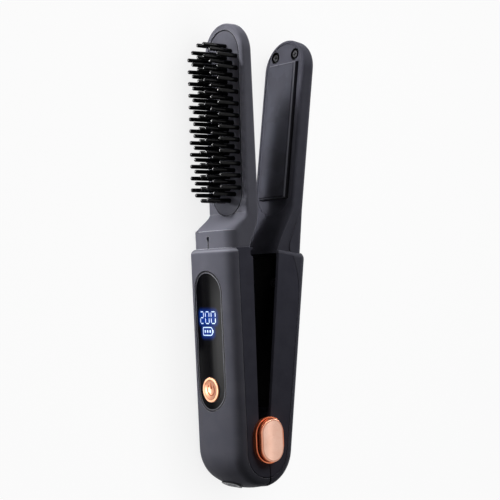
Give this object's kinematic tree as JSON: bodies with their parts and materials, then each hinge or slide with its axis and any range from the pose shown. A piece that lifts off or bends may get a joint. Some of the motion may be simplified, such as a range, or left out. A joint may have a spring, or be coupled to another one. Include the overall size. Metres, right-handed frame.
{
  "type": "hair straightening comb",
  "caption": "Cordless hinged hair straightening comb with bristles outside, heated plates inside the arms, a display, power button, charging port and travel lock.",
  "frame": {"origin": "on the hinge axis, in the plane of the flat side that the comb rests on", "axes": "+Y from the hinge along the comb arm towards the tips, +Z along the hinge axis up to the lock's side, -X towards the comb's bristles and the display"},
  "size_m": [0.0665, 0.2287, 0.0381],
  "materials": {
    "shell_plastic": "dark slate grey, soft-touch satin",
    "frame_plastic": "near-black, fine satin",
    "comb_plastic": "black, smooth gloss",
    "carrier_plastic": "dark slate grey, heat-resistant, fine matte",
    "plate_coating": "ceramic-coated aluminium, dark grey satin",
    "heater_ceramic": "pale ceramic in foil",
    "silicone": "heat-resistant silicone",
    "black_screw": "black-oxide steel",
    "steel": "bright steel",
    "rose_gold": "rose-gold plated, satin metallic",
    "bezel_plastic": "dark grey, satin gloss",
    "panel_acrylic": "smoked black acrylic, high gloss",
    "display_white": "white light box",
    "board_green": "green solder mask",
    "switch_black": "black moulded switch body",
    "port_metal": "drawn steel can",
    "battery_wrap": "blue shrink wrap"
  },
  "bodies": {
    "front_arm": {"front_handle_shell": "shell_plastic", "front_side_frame": "frame_plastic", "comb_head_shell": "shell_plastic", "bristle_comb": "comb_plastic", "comb_plate_carrier": "carrier_plastic", "comb_heating_plate": "plate_coating", "comb_heater": "heater_ceramic", "comb_heater_pads": "silicone", "comb_tip_screws": "black_screw", "display_bezel": "bezel_plastic", "display_panel": "panel_acrylic", "display_module": "display_white", "main_board": "board_green", "power_switch": "switch_black", "charging_port": "port_metal", "port_bezel": "bezel_plastic", "hinge_pin": "steel", "opening_spring": "steel", "lock_ring": "rose_gold", "board_screws": "steel", "front_case_screws": "black_screw"},
    "rear_arm": {"rear_handle_shell": "shell_plastic", "rear_side_frame": "frame_plastic", "rear_head_shell": "shell_plastic", "rear_plate_carrier": "carrier_plastic", "rear_plate_pads": "silicone", "rear_tip_screws": "black_screw", "battery_pack": "battery_wrap", "rear_case_screws": "black_screw"},
    "floating_plate": {"rear_heating_plate": "plate_coating", "rear_heater": "heater_ceramic"},
    "power_button": {"power_button": "rose_gold", "switch_plunger": "switch_black"},
    "hinge_lock": {"lock_button": "rose_gold", "lock_bolt": "steel"}
  },
  "joints": [
    {"name": "rear_arm_hinge", "type": "hinge", "parent": "front_arm", "child": "rear_arm", "pos_m": [0, 0, 0.0165], "axis": [0, 0, 1], "range_deg": [0, 9.4], "stiffness_Nm_per_rad": 1, "springref_deg": -20.05, "deforming": ["opening_spring"]},
    {"name": "plate_float", "type": "slide", "parent": "rear_arm", "child": "floating_plate", "axis": [0.9866, -0.1633, 0], "range_m": [0, 0.0008], "stiffness_N_per_m": 2000, "springref_m": -0.001, "deforming": ["rear_plate_pads"]},
    {"name": "power_press", "type": "slide", "parent": "front_arm", "child": "power_button", "axis": [1, 0, 0], "range_m": [0, 0.0006], "stiffness_N_per_m": 800, "springref_m": -0.0005},
    {"name": "lock_press", "type": "slide", "parent": "front_arm", "child": "hinge_lock", "axis": [0, 0, -1], "range_m": [0, 0.0014]}
  ]
}
